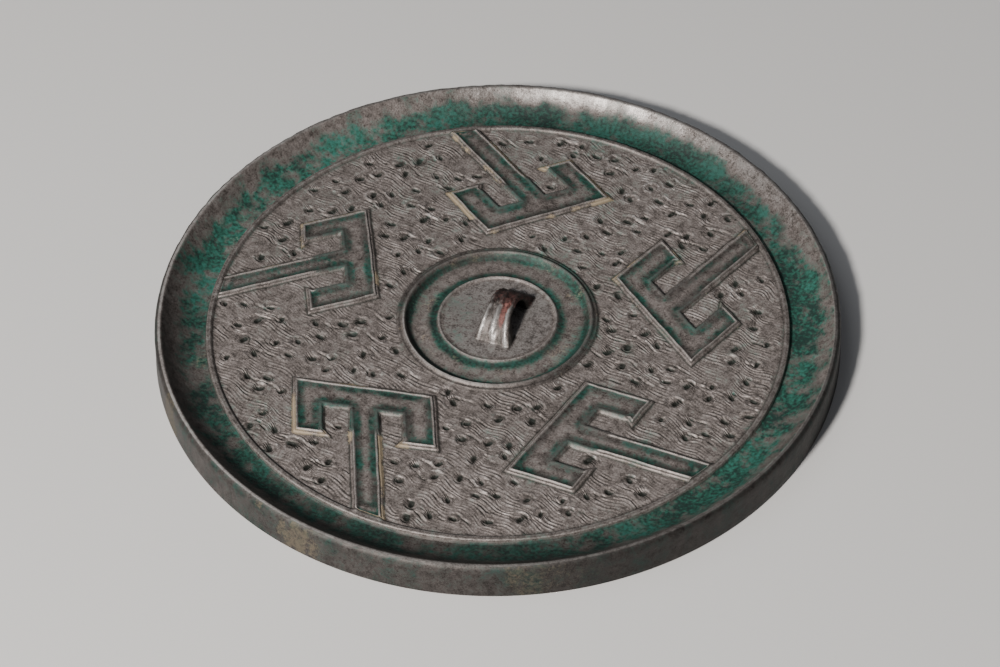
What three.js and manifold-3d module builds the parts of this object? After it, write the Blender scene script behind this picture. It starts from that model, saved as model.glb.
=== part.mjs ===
// An ancient cast bronze mirror. It lies with its decorated back up and its polished face down.
// Millimetres, +Z up. The origin is the middle of the flat polished face that it lies on,
// and +X runs along the hole through the knob, where the cord went.
import * as THREE from "three";
import { mergeVertices } from "three/addons/utils/BufferGeometryUtils.js";
import Module from "manifold-3d";

// Disc, from its outer edge inwards
const BASE_RADIUS = 76.3;
const WALL_LEAN = 0.4;          // the outer wall leans in this far by its top
const LIP_HEIGHT = 8.4;
const LIP_BEVEL_WIDTH = 0.9;
const LIP_BEVEL_DROP = 0.75;
const LIP_LAND = 0.6;           // the narrow flat on top of the lip
const BORDER_WIDTH = 9.4;       // from the lip's land in to the ring round the field
const BORDER_FLAT = 1.2;        // flat strip at the foot of the hollow border
const BORDER_THICKNESS = 3.25;
const BORDER_CURVE = 2.1;       // power of the border's hollow curve
const BORDER_STEPS = 6;
const FIELD_RING_WIDTH = 1.5;
const FIELD_RING_RISE = 0.6;    // above the ground of the field
const RING_SLOPE = 0.3;         // width of the ring's sloping sides
const FIELD_THICKNESS = 3.8;    // the ground between the motifs

// Middle of the disc
const HUB_RADIUS = 22.5;        // outer foot of the ring round the middle
const HUB_BEVEL = 1.2;
const HUB_LAND = 0.5;
const HUB_RISE = 0.75;
const CHANNEL_DROP = 0.8;       // the channel's deepest line, below the field
const CHANNEL_WALL = 1.2;       // width of the channel's outer wall
const CHANNEL_SHALLOW = 0.35;   // the channel's inner edge, below the field
const RIDGE_RADIUS = 13.1;      // thin ridge round the seat of the knob
const RIDGE_HALF = 0.55;
const RIDGE_RISE = 0.4;         // above the seat
const SEAT_DROP = 0.2;          // below the field

// Knob: a ribbed strap that bridges the seat from front to back
const KNOB_X = 1.8;
const KNOB_FRONT = -7.4;
const KNOB_LENGTH = 16.2;
const KNOB_HEIGHT = 6.0;        // above the seat
const KNOB_FOOT_WIDTH = 8.2;    // at the front
const KNOB_BACK_WIDTH = 6.4;    // at the back
const KNOB_TOP_WIDTH = 5.7;
const KNOB_LEAN = -0.75;        // sideways shift of the knob's top
const KNOB_CROWN = 0.57;        // where its highest point is, as a share of its length
const STRAP_TOP = 1.55;         // thickness of the strap at its top
const STRAP_FOOT = 3.4;         // and at its feet
const STRAP_ROOT = 1.2;         // how deep its feet run into the plate
const ARCH_FRONT = 1.7;         // power of the outside's curve, from 1 for a straight slope
const ARCH_BACK = 1.45;
const ARCH_HOLE = 2.4;          // power of the hole's curve
const ARCH_STEPS = 16;
const RIB_COUNT = 3;
const RIB_HEIGHT = 0.45;

// Motifs: a bar with two arms and a longer stem between them, drawn slantwise. Each was laid out by
// eye, so each has its own place, its own turns from the circle round the mirror, and its own length.
const MOTIF_PLACES = [
  { angle: 238.0, radius: 35.6, barTurn: 43.6, limbTurn: -31.8, length: 32.2, arm: 16.5 },
  { angle: 309.8, radius: 34.2, barTurn: 38.2, limbTurn: -40.1, length: 31.7, arm: 16.2 },
  { angle: 19.4, radius: 34.1, barTurn: 34.1, limbTurn: -39.1, length: 32.3, arm: 17.8 },
  { angle: 92.2, radius: 34.8, barTurn: 41.7, limbTurn: -35.7, length: 31.6, arm: 17.2 },
  { angle: 165.3, radius: 35.3, barTurn: 43.7, limbTurn: -34.8, length: 29.8, arm: 16.9 },
];
const MOTIF_RISE = 0.9;         // above the field
const MOTIF_BAR = 7.8;          // depth of the bar
const MOTIF_SIDE = 0.55;        // width of the sloping sides
const MOTIF_RIM = 0.7;          // width of the rim round the hollowed faces
const MOTIF_HOLLOW = 0.3;
const MOTIF_TIP = 1.5;          // how far the pointed arm ends reach past the arm
const MOTIF_TIP_DEPTH = 2.0;
const MOTIF_ROOT = 1.0;         // how deep a motif runs into the plate
// Shares of the bar's length: arm, gap, stem, gap, arm
const FIRST_ARM = 0.222;
const STEM_START = 0.387;
const STEM_END = 0.606;
const SECOND_ARM = 0.749;

// Curls of the ground: rows of little craters, in a staggered pattern with a slight waver
const CURL_PITCH = 5.9;
const CURL_ROW_PITCH = 5.3;
const CURL_WAVER = 1.1;
const CURL_RADIUS = 1.6;
const CURL_CREST = 1.0;         // radius of the crater's crest
const CURL_RISE = 0.42;
const CURL_SIDES = 5;
const CURL_ROOT = 0.6;
const CURL_MARGIN = 0.5;        // bare ground between a curl and what is beside it
const GROUND_TURN = 23.4;       // direction of the curls' rows, in degrees from +X

const DISC_SEGMENTS = 96;
const PATINA = { color: 0x6f6a61, roughness: 0.62, metalness: 0.55 };

const rimTop = BASE_RADIUS - WALL_LEAN;
const lipOuter = rimTop - LIP_BEVEL_WIDTH;
const lipInner = lipOuter - LIP_LAND;
const fieldRingOuter = lipInner - BORDER_WIDTH;
const fieldRingInner = fieldRingOuter - FIELD_RING_WIDTH;
const fieldRingTop = FIELD_THICKNESS + FIELD_RING_RISE;
const motifTop = FIELD_THICKNESS + MOTIF_RISE;
const seatHeight = FIELD_THICKNESS - SEAT_DROP;

const wasm = await Module();
wasm.setup();

const radians = THREE.MathUtils.degToRad;

function toSolid(geometry) {
  const bare = geometry.clone();
  bare.deleteAttribute("normal");
  bare.deleteAttribute("uv");
  const merged = mergeVertices(bare, 1e-4);
  return new wasm.Manifold(new wasm.Mesh({
    numProp: 3,
    vertProperties: merged.attributes.position.array,
    triVerts: new Uint32Array(merged.index.array),
  }));
}

function toGeometry(solid) {
  const mesh = solid.getMesh();
  const geometry = new THREE.BufferGeometry();
  geometry.setAttribute("position", new THREE.BufferAttribute(mesh.vertProperties, 3));
  geometry.setIndex(new THREE.BufferAttribute(mesh.triVerts, 1));
  geometry.computeVertexNormals();
  return geometry;
}

// A solid turned about the Z axis from a profile of [radius, height] pairs
function turned(profile, segments) {
  const points = profile.map(([radius, height]) => new THREE.Vector2(radius, height));
  const geometry = new THREE.LatheGeometry(points, segments);
  geometry.rotateX(Math.PI / 2);
  return toSolid(geometry);
}

// A solid through rings of points, all with the same count, closed by a fan at each end
function lofted(rings) {
  const count = rings[0].length;
  const positions = rings.flat().flatMap((point) => point.toArray());
  const index = [];
  for (let ring = 0; ring + 1 < rings.length; ring += 1) {
    for (let i = 0; i < count; i += 1) {
      const a = ring * count + i;
      const b = ring * count + ((i + 1) % count);
      index.push(a, b, b + count, a, b + count, a + count);
    }
  }
  const last = (rings.length - 1) * count;
  for (let i = 1; i + 1 < count; i += 1) {
    index.push(0, i + 1, i);
    index.push(last, last + i, last + i + 1);
  }
  const geometry = new THREE.BufferGeometry();
  geometry.setAttribute("position", new THREE.Float32BufferAttribute(positions, 3));
  geometry.setIndex(index);
  return toSolid(geometry);
}

// Border: a flat strip beside the field ring, then a hollow curve that climbs to the lip
function borderProfile() {
  const points = [];
  const start = fieldRingOuter + BORDER_FLAT;
  for (let step = BORDER_STEPS; step >= 0; step -= 1) {
    const share = step / BORDER_STEPS;
    const climb = (LIP_HEIGHT - BORDER_THICKNESS) * share ** BORDER_CURVE;
    points.push([start + (lipInner - start) * share, BORDER_THICKNESS + climb]);
  }
  return points;
}

function plate() {
  const hubCrest = HUB_RADIUS - HUB_BEVEL;
  const channelEdge = hubCrest - HUB_LAND;
  return turned([
    [0, 0],
    [BASE_RADIUS, 0],
    [rimTop, LIP_HEIGHT - LIP_BEVEL_DROP],
    [lipOuter, LIP_HEIGHT],
    ...borderProfile(),
    [fieldRingOuter, BORDER_THICKNESS],
    [fieldRingOuter - RING_SLOPE, fieldRingTop],
    [fieldRingInner + RING_SLOPE, fieldRingTop],
    [fieldRingInner, FIELD_THICKNESS],
    [HUB_RADIUS, FIELD_THICKNESS],
    [hubCrest, FIELD_THICKNESS + HUB_RISE],
    [channelEdge, FIELD_THICKNESS + HUB_RISE],
    [channelEdge - CHANNEL_WALL, FIELD_THICKNESS - CHANNEL_DROP],
    [RIDGE_RADIUS + RIDGE_HALF, FIELD_THICKNESS - CHANNEL_SHALLOW],
    [RIDGE_RADIUS, seatHeight + RIDGE_RISE],
    [RIDGE_RADIUS - RIDGE_HALF, seatHeight],
    [0, seatHeight],
  ], DISC_SEGMENTS);
}

// Height of an arch over its own base, at a share of its length
function archHeight(share, height, power) {
  const span = share < KNOB_CROWN ? KNOB_CROWN : 1 - KNOB_CROWN;
  const out = Math.min(1, Math.abs(share - KNOB_CROWN) / span);
  return height * (1 - out ** power) ** (1 / power);
}

// The knob's strap: ribs along its outside, a plain inside, feet that widen to the seat
function knob() {
  const rings = [];
  const innerLength = KNOB_LENGTH - 2 * STRAP_FOOT;
  for (let step = 0; step <= ARCH_STEPS; step += 1) {
    const share = (1 - Math.cos(Math.PI * step / ARCH_STEPS)) / 2;
    const outer = archHeight(share, KNOB_HEIGHT, share < KNOB_CROWN ? ARCH_FRONT : ARCH_BACK);
    const inner = archHeight(share, KNOB_HEIGHT - STRAP_TOP, ARCH_HOLE);
    const footWidth = share < KNOB_CROWN ? KNOB_FOOT_WIDTH : KNOB_BACK_WIDTH;
    const atEnd = step === 0 || step === ARCH_STEPS;
    const rise = outer / KNOB_HEIGHT;
    const width = footWidth + (KNOB_TOP_WIDTH - footWidth) * Math.min(1, 1.15 * rise);
    const middle = KNOB_X + KNOB_LEAN * rise;
    const outerY = KNOB_FRONT + KNOB_LENGTH * share;
    const innerY = KNOB_FRONT + STRAP_FOOT + innerLength * share;
    const outerZ = atEnd ? seatHeight - STRAP_ROOT : seatHeight + outer;
    const innerZ = atEnd ? seatHeight - STRAP_ROOT : seatHeight + inner;
    const ring = [];
    for (let i = 0; i <= 2 * RIB_COUNT; i += 1) {
      const x = middle + width * (0.5 - i / (2 * RIB_COUNT));
      const sink = i % 2 === 0 ? RIB_HEIGHT : 0;
      const inward = Math.sign(KNOB_CROWN - share) * sink * (1 - rise);
      ring.push(new THREE.Vector3(x, outerY + inward, outerZ - sink * rise));
    }
    ring.push(new THREE.Vector3(middle - width / 2, innerY, innerZ));
    ring.push(new THREE.Vector3(middle + width / 2, innerY, innerZ));
    rings.push(ring);
  }
  return lofted(rings);
}

// A motif's own frame: across runs along the bar, along runs out along the limbs
function motifFrame(place) {
  const tangent = radians(place.angle + 90);
  const bar = tangent + radians(place.barTurn);
  const limb = tangent + radians(place.limbTurn);
  const across = new THREE.Vector2(Math.cos(bar), Math.sin(bar));
  const along = new THREE.Vector2(Math.cos(limb), Math.sin(limb));
  const middle = new THREE.Vector2(Math.cos(radians(place.angle)), Math.sin(radians(place.angle)));
  const corner = middle.multiplyScalar(place.radius).addScaledVector(across, -place.length / 2);
  const skew = Math.abs(across.cross(along));
  return { across, along, corner, skew };
}

function motifPoint(frame, p, q, z) {
  const flat = frame.corner.clone().addScaledVector(frame.across, p).addScaledVector(frame.along, q);
  return new THREE.Vector3(flat.x, flat.y, z);
}

// The bar, arms and stem as spans along the bar (p) and out along the limbs (q)
function motifBlocks(place) {
  const { length, arm } = place;
  return [
    { p: [0, length], q: [0, MOTIF_BAR] },
    { p: [0, length * FIRST_ARM], q: [0, arm] },
    { p: [length * STEM_START, length * STEM_END], q: [0, fieldRingOuter] },
    { p: [length * SECOND_ARM, length], q: [0, arm] },
  ];
}

// A slanted block whose outline is smaller by bottomInset and topInset at its two heights
function slantedBlock(frame, block, bottom, bottomInset, top, topInset) {
  const ring = (inset, z) => {
    const d = inset / frame.skew;
    const [p0, p1] = [block.p[0] + d, block.p[1] - d];
    const [q0, q1] = [block.q[0] + d, block.q[1] - d];
    const corners = [[p0, q0], [p1, q0], [p1, q1], [p0, q1]];
    return corners.map(([p, q]) => motifPoint(frame, p, q, z)).reverse();
  };
  const rings = [ring(bottomInset, bottom), ring(topInset, top)];
  const handed = frame.across.cross(frame.along) < 0;
  return lofted(handed ? rings : rings.map((points) => points.reverse()));
}

// The pointed end of an arm: a three-sided prism beside the arm's last stretch
function armTip(frame, edge, reach, arm) {
  const outline = [
    [edge - Math.sign(reach) * MOTIF_SIDE, arm - MOTIF_TIP_DEPTH],
    [edge - Math.sign(reach) * MOTIF_SIDE, arm],
    [edge + reach, arm],
  ].map(([p, q]) => motifPoint(frame, p, q, 0));
  const shape = new THREE.Shape(outline.map((point) => new THREE.Vector2(point.x, point.y)));
  const depth = MOTIF_ROOT + MOTIF_RISE;
  const geometry = new THREE.ExtrudeGeometry(shape, { depth, bevelEnabled: false });
  geometry.translate(0, 0, FIELD_THICKNESS - MOTIF_ROOT);
  return toSolid(geometry);
}

function joined(solids) {
  return solids.reduce((sum, solid) => sum.add(solid));
}

function motif(place) {
  const frame = motifFrame(place);
  const bottom = FIELD_THICKNESS - MOTIF_ROOT;
  const bottomInset = -MOTIF_SIDE * MOTIF_ROOT / MOTIF_RISE;
  const blocks = motifBlocks(place);
  const body = joined(blocks.map(
    (block) => slantedBlock(frame, block, bottom, bottomInset, motifTop, MOTIF_SIDE)));
  const floor = motifTop - MOTIF_HOLLOW;
  const rim = MOTIF_SIDE + MOTIF_RIM;
  const hollow = joined(blocks.map(
    (block) => slantedBlock(frame, block, floor, rim, motifTop + MOTIF_HOLLOW, rim)));
  const tips = [
    armTip(frame, place.length * FIRST_ARM, MOTIF_TIP, place.arm),
    armTip(frame, place.length * SECOND_ARM, -MOTIF_TIP, place.arm),
  ];
  const reach = turned([
    [0, 0], [fieldRingOuter - RING_SLOPE, 0], [fieldRingOuter - RING_SLOPE, LIP_HEIGHT], [0, LIP_HEIGHT],
  ], DISC_SEGMENTS);
  const hollowReach = turned([
    [0, 0], [fieldRingInner, 0], [fieldRingInner, LIP_HEIGHT], [0, LIP_HEIGHT],
  ], DISC_SEGMENTS);
  return joined([body.subtract(hollow.intersect(hollowReach)), ...tips]).intersect(reach);
}

// Whether a point of the field is farther than the margin from every motif
function clearOfMotifs(x, y, margin) {
  return MOTIF_PLACES.every((place) => {
    const frame = motifFrame(place);
    const offset = new THREE.Vector2(x, y).sub(frame.corner);
    const turn = frame.across.cross(frame.along);
    const p = offset.cross(frame.along) / turn;
    const q = frame.across.cross(offset) / turn;
    const room = margin / frame.skew;
    return motifBlocks(place).every((block) => p < block.p[0] - room || p > block.p[1] + room
      || q < block.q[0] - room || q > block.q[1] + room);
  });
}

function curlPlaces() {
  const places = [];
  const reach = CURL_RADIUS + CURL_MARGIN;
  const rows = Math.ceil(fieldRingInner / CURL_ROW_PITCH);
  const columns = Math.ceil(fieldRingInner / CURL_PITCH);
  const turn = radians(GROUND_TURN);
  for (let row = -rows; row <= rows; row += 1) {
    for (let column = -columns; column <= columns; column += 1) {
      const stagger = row % 2 === 0 ? 0 : 0.5;
      const u = (column + stagger) * CURL_PITCH + CURL_WAVER * Math.sin(2.1 * row + 1.7 * column);
      const v = row * CURL_ROW_PITCH + CURL_WAVER * Math.sin(1.3 * column + 2.9 * row);
      const x = u * Math.cos(turn) - v * Math.sin(turn);
      const y = u * Math.sin(turn) + v * Math.cos(turn);
      const radius = Math.hypot(x, y);
      if (radius > HUB_RADIUS + reach && radius < fieldRingInner - reach && clearOfMotifs(x, y, reach)) {
        places.push({ x, y, turn: row + column });
      }
    }
  }
  return places;
}

function curls() {
  const curl = turned([
    [0, FIELD_THICKNESS - CURL_ROOT],
    [CURL_RADIUS, FIELD_THICKNESS - CURL_ROOT],
    [CURL_RADIUS, FIELD_THICKNESS],
    [CURL_CREST, FIELD_THICKNESS + CURL_RISE],
    [0, FIELD_THICKNESS],
  ], CURL_SIDES);
  return curlPlaces().map(({ x, y, turn }) => curl.rotate([0, 0, turn * 40]).translate([x, y, 0]));
}

const casting = joined([plate(), ...MOTIF_PLACES.map(motif), knob(), ...curls()]);

const mirror = new THREE.Mesh(toGeometry(casting), new THREE.MeshStandardMaterial(PATINA));
mirror.name = "mirror";

const bronzeMirror = new THREE.Group();
bronzeMirror.add(mirror);

export default bronzeMirror;
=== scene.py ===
"""An ancient cast bronze mirror: its fine relief and its aged surface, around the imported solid."""
import math

import bpy
import numpy as np
from mathutils import Matrix, Vector
from mathutils.geometry import delaunay_2d_cdt


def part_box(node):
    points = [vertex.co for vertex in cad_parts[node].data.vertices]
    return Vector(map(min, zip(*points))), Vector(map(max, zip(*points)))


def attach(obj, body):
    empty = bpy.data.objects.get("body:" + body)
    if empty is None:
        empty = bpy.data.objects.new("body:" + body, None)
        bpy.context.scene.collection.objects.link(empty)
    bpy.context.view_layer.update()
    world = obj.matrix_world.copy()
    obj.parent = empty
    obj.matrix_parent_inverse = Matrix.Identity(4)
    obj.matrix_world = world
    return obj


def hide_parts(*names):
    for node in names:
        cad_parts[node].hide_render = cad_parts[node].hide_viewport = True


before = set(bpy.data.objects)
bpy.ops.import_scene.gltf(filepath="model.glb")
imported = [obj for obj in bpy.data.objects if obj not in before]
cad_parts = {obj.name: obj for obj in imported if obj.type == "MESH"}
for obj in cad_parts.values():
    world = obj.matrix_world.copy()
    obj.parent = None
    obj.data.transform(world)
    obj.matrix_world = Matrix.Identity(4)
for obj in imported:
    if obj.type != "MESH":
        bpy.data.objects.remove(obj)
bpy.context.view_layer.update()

# Lengths are in millimetres up to the point where a mesh is made.
MM = 0.001

# Disc, from its outer edge inwards, as in the solid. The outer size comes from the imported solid.
BASE_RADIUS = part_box("mirror")[1][0] / MM
TOP_OF_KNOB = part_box("mirror")[1][2] / MM
WALL_LEAN = 0.4  # the outer wall leans in this far by its top
LIP_HEIGHT = 8.4
LIP_BEVEL_WIDTH = 0.9
LIP_LAND = 0.6  # the narrow flat on top of the lip
BORDER_WIDTH = 9.4  # from the lip's land in to the ring round the field
BORDER_FLAT = 1.2  # flat strip at the foot of the hollow border
BORDER_THICKNESS = 3.25
BORDER_CURVE = 2.1  # power of the border's hollow curve
BORDER_STEP = 0.62  # between rings of points
FIELD_RING_WIDTH = 1.5
FIELD_RING_RISE = 0.6  # above the ground of the field
FIELD_THICKNESS = 3.8  # the ground between the motifs
RING_TOP = BASE_RADIUS - WALL_LEAN
LIP_OUTER = RING_TOP - LIP_BEVEL_WIDTH
LIP_INNER = LIP_OUTER - LIP_LAND
FIELD_OUTER = LIP_INNER - BORDER_WIDTH
FIELD_INNER = FIELD_OUTER - FIELD_RING_WIDTH
DISC_SEGMENTS = 512
UNDERSIDE_STEP = 6.0

# Middle of the disc
HUB_RADIUS = 22.5
SEAT_RADIUS = 12.5
SEAT_HEIGHT = 3.6
HUB_SEGMENTS = 288
HUB_ROUGH = 0.035
# Radius, and height there above the seat's level, from the outer foot of the ring in to the seat
HUB_PROFILE = [
    (22.5, 0.2), (22.3, 0.46), (22.05, 0.48), (21.8, 0.34), (21.5, 0.6), (21.2, 0.93), (20.95, 0.98),
    (20.7, 0.84), (20.5, 0.5), (20.2, 0.0),
    (19.5, -0.52), (18.8, -0.62), (17.5, -0.58), (16.0, -0.46), (14.6, -0.3), (13.9, -0.2),
    (13.55, 0.05), (13.25, 0.36), (13.0, 0.38), (12.75, 0.12), (12.5, 0.0),
]
# Radius, and relief there, from -1 in a hollow to 1 on a crest
HUB_RELIEF = [
    (12.5, -0.3), (12.75, 0.2), (13.0, 0.8), (13.25, 0.7), (13.6, -0.5), (14.2, -0.2), (15.0, 0.0),
    (18.5, 0.0), (19.6, -0.35), (20.3, -0.7), (20.7, 0.4), (20.95, 1.0), (21.2, 0.8), (21.5, 0.2),
    (21.8, -0.6), (22.15, 0.3), (22.5, -0.4),
]
CHANNEL_EDGES = (19.8, 14.2)  # radii along which green gathers in the channel
SEAT_STEP = 0.7  # between its points
SEAT_CLEARANCE = 0.4
FOOT_CLEARANCE = 0.35  # from its points to the feet of the knob

# Knob: a ribbed strap from front to back over the seat
KNOB_X = 1.8
KNOB_FRONT = -7.4
KNOB_LENGTH = 16.2
KNOB_HEIGHT = TOP_OF_KNOB - SEAT_HEIGHT
KNOB_FOOT_WIDTH = 8.2  # at the front
KNOB_BACK_WIDTH = 6.4  # at the back
KNOB_TOP_WIDTH = 5.7
KNOB_LEAN = -0.75  # sideways shift of the knob's top
KNOB_CROWN = 0.57  # where its highest point is, as a share of its length
CROWN_Y = KNOB_FRONT + KNOB_LENGTH * KNOB_CROWN
STRAP_TOP = 1.55  # thickness of the strap at its top
STRAP_FOOT = 3.4  # and at its feet
STRAP_BULGE = 0.12  # how far its sides stand out between the top and the hole
ARCH_FRONT = 1.7  # power of the outside's curve, from 1 for a straight slope
ARCH_BACK = 1.45
ARCH_HOLE = 2.4  # power of the hole's curve
ARCH_STEPS = 56
STRAP_ACROSS = 29
STRAP_UNDER = 9
RIB_HEIGHT = 0.55
RIB_MIDDLE = -0.05  # across the strap from -1 to 1
RIB_SPACING = 0.86
RED_FLUTE = 0.4  # where the rust-red flute is, across the strap
KNOB_ROUGH = 0.8  # how deep the broken crest of the knob is
FOOT_FLARE = 0.4  # how far the strap spreads where it meets the seat
FLARE_HEIGHT = 0.45
LEFT_SIDE, RIGHT_SIDE, IN_HOLE = -1.2, 1.2, -9.0  # stand for places that aren't on its outside

# Motifs: the same places, turns and lengths as in the solid
MOTIF_PLACES = [
    dict(angle=238.0, radius=35.6, bar_turn=43.6, limb_turn=-31.8, length=32.2, arm=16.5),
    dict(angle=309.8, radius=34.2, bar_turn=38.2, limb_turn=-40.1, length=31.7, arm=16.2),
    dict(angle=19.4, radius=34.1, bar_turn=34.1, limb_turn=-39.1, length=32.3, arm=17.8),
    dict(angle=92.2, radius=34.8, bar_turn=41.7, limb_turn=-35.7, length=31.6, arm=17.2),
    dict(angle=165.3, radius=35.3, bar_turn=43.7, limb_turn=-34.8, length=29.8, arm=16.9),
]
MOTIF_BAR = 7.8  # width of the bar
MOTIF_TIP = 1.5  # how far the arms' tips hook towards the stem
MOTIF_TIP_DEPTH = 2.0
FIRST_ARM = 0.222  # where the arms and the stem are, as shares of the bar's length
STEM_START = 0.387
STEM_END = 0.606
SECOND_ARM = 0.749
STEM_REACH = FIELD_INNER - 0.2
STEM_OVERLAP = 0.6  # how far the stems run out on to the field ring
# Distance in from the outline, height there over the field, and height there in a notch
MOTIF_PROFILE = [
    (0.0, 0.0, 0.0), (0.28, 0.36, 0.52), (0.5, 0.5, 0.76), (0.66, 0.4, 0.82), (0.82, 0.78, 0.82),
    (0.96, 0.9, 0.8), (1.14, 0.8, 0.72), (1.4, 0.55, 0.6),
]
MOTIF_FACE = 0.55  # height of the hollowed face over the field
FACE_STEP = 1.0  # between the points of the face
OUTLINE_STEP = 0.8
OUTLINE_WAVER = 0.12
WAVER_FADE = 3.0  # the waver fades out this near the field ring
# Edges of the outline, by the corner that they start from
STEM_END_EDGE = 6
NOTCH_EDGES = (3, 4, 8, 9)
STEM_END_SHARE = 0.1  # how much of an inset the stem's end takes part in
NOTCH_SHIFT = 0.95  # added to the edge distance in a notch, which has no rim to colour

# Ground: fine wavy lines that part round curls. The curls are laid out as in the solid.
GROUND_TURN = math.radians(23.4)
LINE_TURN = math.radians(-15)
LINE_PITCH = 0.8
LINE_HEIGHT = 0.13
# Height at each row of points from one line to the next: broad crests and narrow grooves
LINE_ROWS = [0.75, 0.8, -1.3]
LINE_SHORTEN = 0.3  # lengthways squeeze that makes triangles follow the lines
SPARE_ROWS = 12  # because the rows wander
POINT_STEP = 0.72
POINT_CLEARANCE = 0.28
WAVE_HEIGHT = 0.8
WAVE_LENGTH = 10.7
UNWAVE_ROUNDS = 12
CURL_PITCH = 5.9
CURL_ROW_PITCH = 5.3
CURL_WAVER = 1.1
CURL_TURNS = 5  # how many ways round the curls are turned
CURL_CLEARANCE = 1.3
CURL_TO_MOTIF = 1.5
CURL_PUSH = 1.25  # how far a curl pushes the lines apart
CURL_REACH = 3.4
CURL_PATCH = 2.0  # radius of a curl's own patch of points
# Rings of points in a curl's patch: share of its radius, and how many points
CURL_RINGS = [(0.17, 6), (0.33, 10), (0.49, 14), (0.65, 18), (0.81, 22), (0.97, 24)]
EDGE_GAP = 0.42  # from the field ring in to a plain ring of points
EDGE_POINTS = 480
CURL_PIT = 0.55
PIT_LENGTH = 0.98
PIT_WIDTH = 0.6
CURL_GROOVE = 0.3
CURL_RIDGE = 0.24
WINDING_START = 1.02  # where the groove begins, out from a curl's middle
WINDING_RATE = 0.1  # and how it moves out with each radian
TAIL_LENGTH = 5.0
TAIL_REACH = 4.5
TAIL_OFFSET = 1.95
TAIL_GROOVE = 0.3
TAIL_RIDGE = 0.16
FULL_RELIEF = 0.35  # ground relief, in millimetres, that counts as 1

SEED = 7
TINY = 1e-12
SMALL_REACH = 1e-9
ALL_TRIANGLES = 0  # the fill's output type: every triangle inside the hull
MERGE_DISTANCE = 1e-7

# What a point of the surface belongs to
GROUND, MOTIF, FIELD_RING, BORDER, LIP, WALL, HUB, SEAT, KNOB, UNDERSIDE = range(10)


class Noise:
    """Smooth repeatable noise from -1 to 1 over the plane, from a wrapped grid of values."""

    SIZE = 128
    START = (37.3, 51.7)  # keeps the middle of the disc off the grid's own lines

    def __init__(self, seed):
        self.grid = np.random.default_rng(seed).uniform(-1.0, 1.0, (self.SIZE, self.SIZE))

    def __call__(self, x, y, scale):
        u, v = np.asarray(x) / scale + self.START[0], np.asarray(y) / scale + self.START[1]
        i, j = np.floor(u).astype(int), np.floor(v).astype(int)
        s, t = u - i, v - j
        s, t = s * s * (3 - 2 * s), t * t * (3 - 2 * t)

        def at(a, b):
            return self.grid[(i + a) % self.SIZE, (j + b) % self.SIZE]

        return (at(0, 0) * (1 - s) + at(1, 0) * s) * (1 - t) + (at(0, 1) * (1 - s) + at(1, 1) * s) * t


noise_a, noise_b, noise_c = Noise(SEED), Noise(SEED + 1), Noise(SEED + 2)


def smooth_step(low, high, value):
    """0 at low and 1 at high, which may be the smaller of the two."""
    t = np.clip((value - low) / (high - low), 0.0, 1.0)
    return t * t * (3 - 2 * t)


def circle(radius, count):
    turn = np.arange(count) * 2 * math.pi / count
    return np.column_stack([radius * np.cos(turn), radius * np.sin(turn)])


class Surface:
    """The mesh, as points and faces. Its parts share their edges by index."""

    def __init__(self):
        self.points = []
        self.relief = []
        self.zone = []
        self.edge = []
        self.faces = []
        self.count = 0

    def add(self, points, zone, relief=0.0, edge=9.0):
        """Adds points and returns their indices.

        zone says what they belong to, relief is -1 in a pit to 1 on a crest, and edge is the distance
        to the nearest outline.
        """
        points = np.asarray(points, float).reshape(-1, 3)
        first = self.count
        self.points.append(points)
        self.zone.append(np.full(len(points), zone))
        self.relief.append(np.broadcast_to(relief, len(points)).astype(float))
        self.edge.append(np.broadcast_to(edge, len(points)).astype(float))
        self.count += len(points)
        return np.arange(first, self.count)

    def plan(self, indices):
        """x and y of points by their indices."""
        return np.concatenate(self.points)[indices, :2]

    def band(self, lower, upper):
        """Joins two closed rings of the same count with triangles that face out of the casting."""
        a, b = np.asarray(lower), np.asarray(upper)
        a2, b2 = np.roll(a, -1), np.roll(b, -1)
        self.faces.extend(np.column_stack([a, a2, b2]).tolist())
        self.faces.extend(np.column_stack([a, b2, b]).tolist())

    def fill(self, loops, inner, flatten=None, flip=False):
        """Triangulates inside the first closed loop of indices and outside the others.

        The triangles run through the inner points. flatten maps the plane to another in which they
        are chosen.
        """
        used = np.concatenate(loops + [inner])
        flat = self.plan(used)
        plane = flatten(flat[:, 0], flat[:, 1]) if flatten else flat
        edges, lines, first = [], [], 0
        for loop in loops:
            n = len(loop)
            edges += [(first + i, first + (i + 1) % n) for i in range(n)]
            lines.append(plane[first:first + n])
            first += n
        corners = [Vector(point) for point in plane.tolist()]
        result = delaunay_2d_cdt(corners, edges, [], ALL_TRIANGLES, MERGE_DISTANCE)
        origin = np.array([source[0] if source else -1 for source in result[3]])
        tris = origin[np.array(result[2])]
        tris = tris[(tris >= 0).all(1)]
        x, y = plane[tris].mean(1).T
        kept = inside_polygon(lines[0], x, y)
        for line in lines[1:]:
            kept &= ~inside_polygon(line, x, y)
        tris = tris[kept]
        a, b, c = plane[tris[:, 0]], plane[tris[:, 1]], plane[tris[:, 2]]
        area = (b[:, 0] - a[:, 0]) * (c[:, 1] - a[:, 1]) - (b[:, 1] - a[:, 1]) * (c[:, 0] - a[:, 0])
        tris = np.where((area < 0)[:, None], tris[:, ::-1], tris)
        if flip:
            tris = tris[:, ::-1]
        self.faces.extend(used[tris].tolist())


# Motif outlines

def motif_frame(place):
    """Unit vectors along the bar and along the arms and stem, and the corner where the bar starts."""
    tangent = math.radians(place["angle"] + 90)
    bar = tangent + math.radians(place["bar_turn"])
    limb = tangent + math.radians(place["limb_turn"])
    across = np.array([math.cos(bar), math.sin(bar)])
    along = np.array([math.cos(limb), math.sin(limb)])
    angle = math.radians(place["angle"])
    middle = np.array([math.cos(angle), math.sin(angle)]) * place["radius"]
    return across, along, middle - across * place["length"] / 2


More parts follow.
